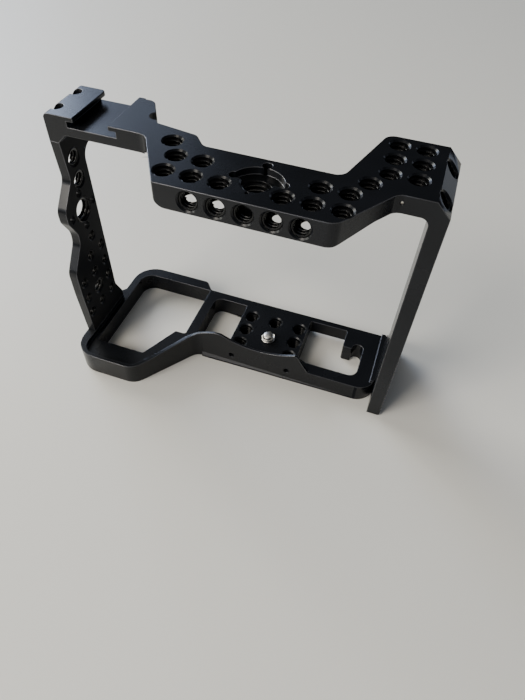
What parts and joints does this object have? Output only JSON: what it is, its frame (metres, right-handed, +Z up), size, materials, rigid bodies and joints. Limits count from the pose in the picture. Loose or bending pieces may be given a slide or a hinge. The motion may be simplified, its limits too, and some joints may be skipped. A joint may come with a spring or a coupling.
{
  "type": "camera cage",
  "caption": "Open frame for a mirrorless camera body: drilled top bridge with cold shoe and side bar, drilled side plate, and slotted base with captive camera screw.",
  "frame": {"origin": "middle of the footprint, on the surface that the base rests on", "axes": "+X to the camera's port side, +Y to its screen side, -Y to its lens side, +Z up"},
  "size_m": [0.1388, 0.066, 0.1098],
  "materials": {
    "black_anodised": "satin black anodising over bead-blasted, machined aluminium",
    "stainless": "turned stainless steel",
    "nylon": "natural nylon",
    "black_screw": "black oxide"
  },
  "bodies": {
    "cage": {"top_frame": "black_anodised", "grip_side_plate": "black_anodised", "base_plate": "black_anodised", "grip_top_screws": "black_screw", "grip_base_screws": "black_screw", "port_base_screws": "black_screw"},
    "washer": {"screw_washer": "nylon"},
    "screw": {"camera_screw": "stainless"}
  },
  "joints": [
    {"name": "screw_rise", "type": "slide", "parent": "cage", "child": "washer", "axis": [0, 0, 1], "range_m": [0, 0.00175]},
    {"name": "screw_spin", "type": "hinge", "parent": "washer", "child": "screw", "pos_m": [0.011, 0.0066, 0.0055], "axis": [0, 0, 1], "continuous": true}
  ]
}
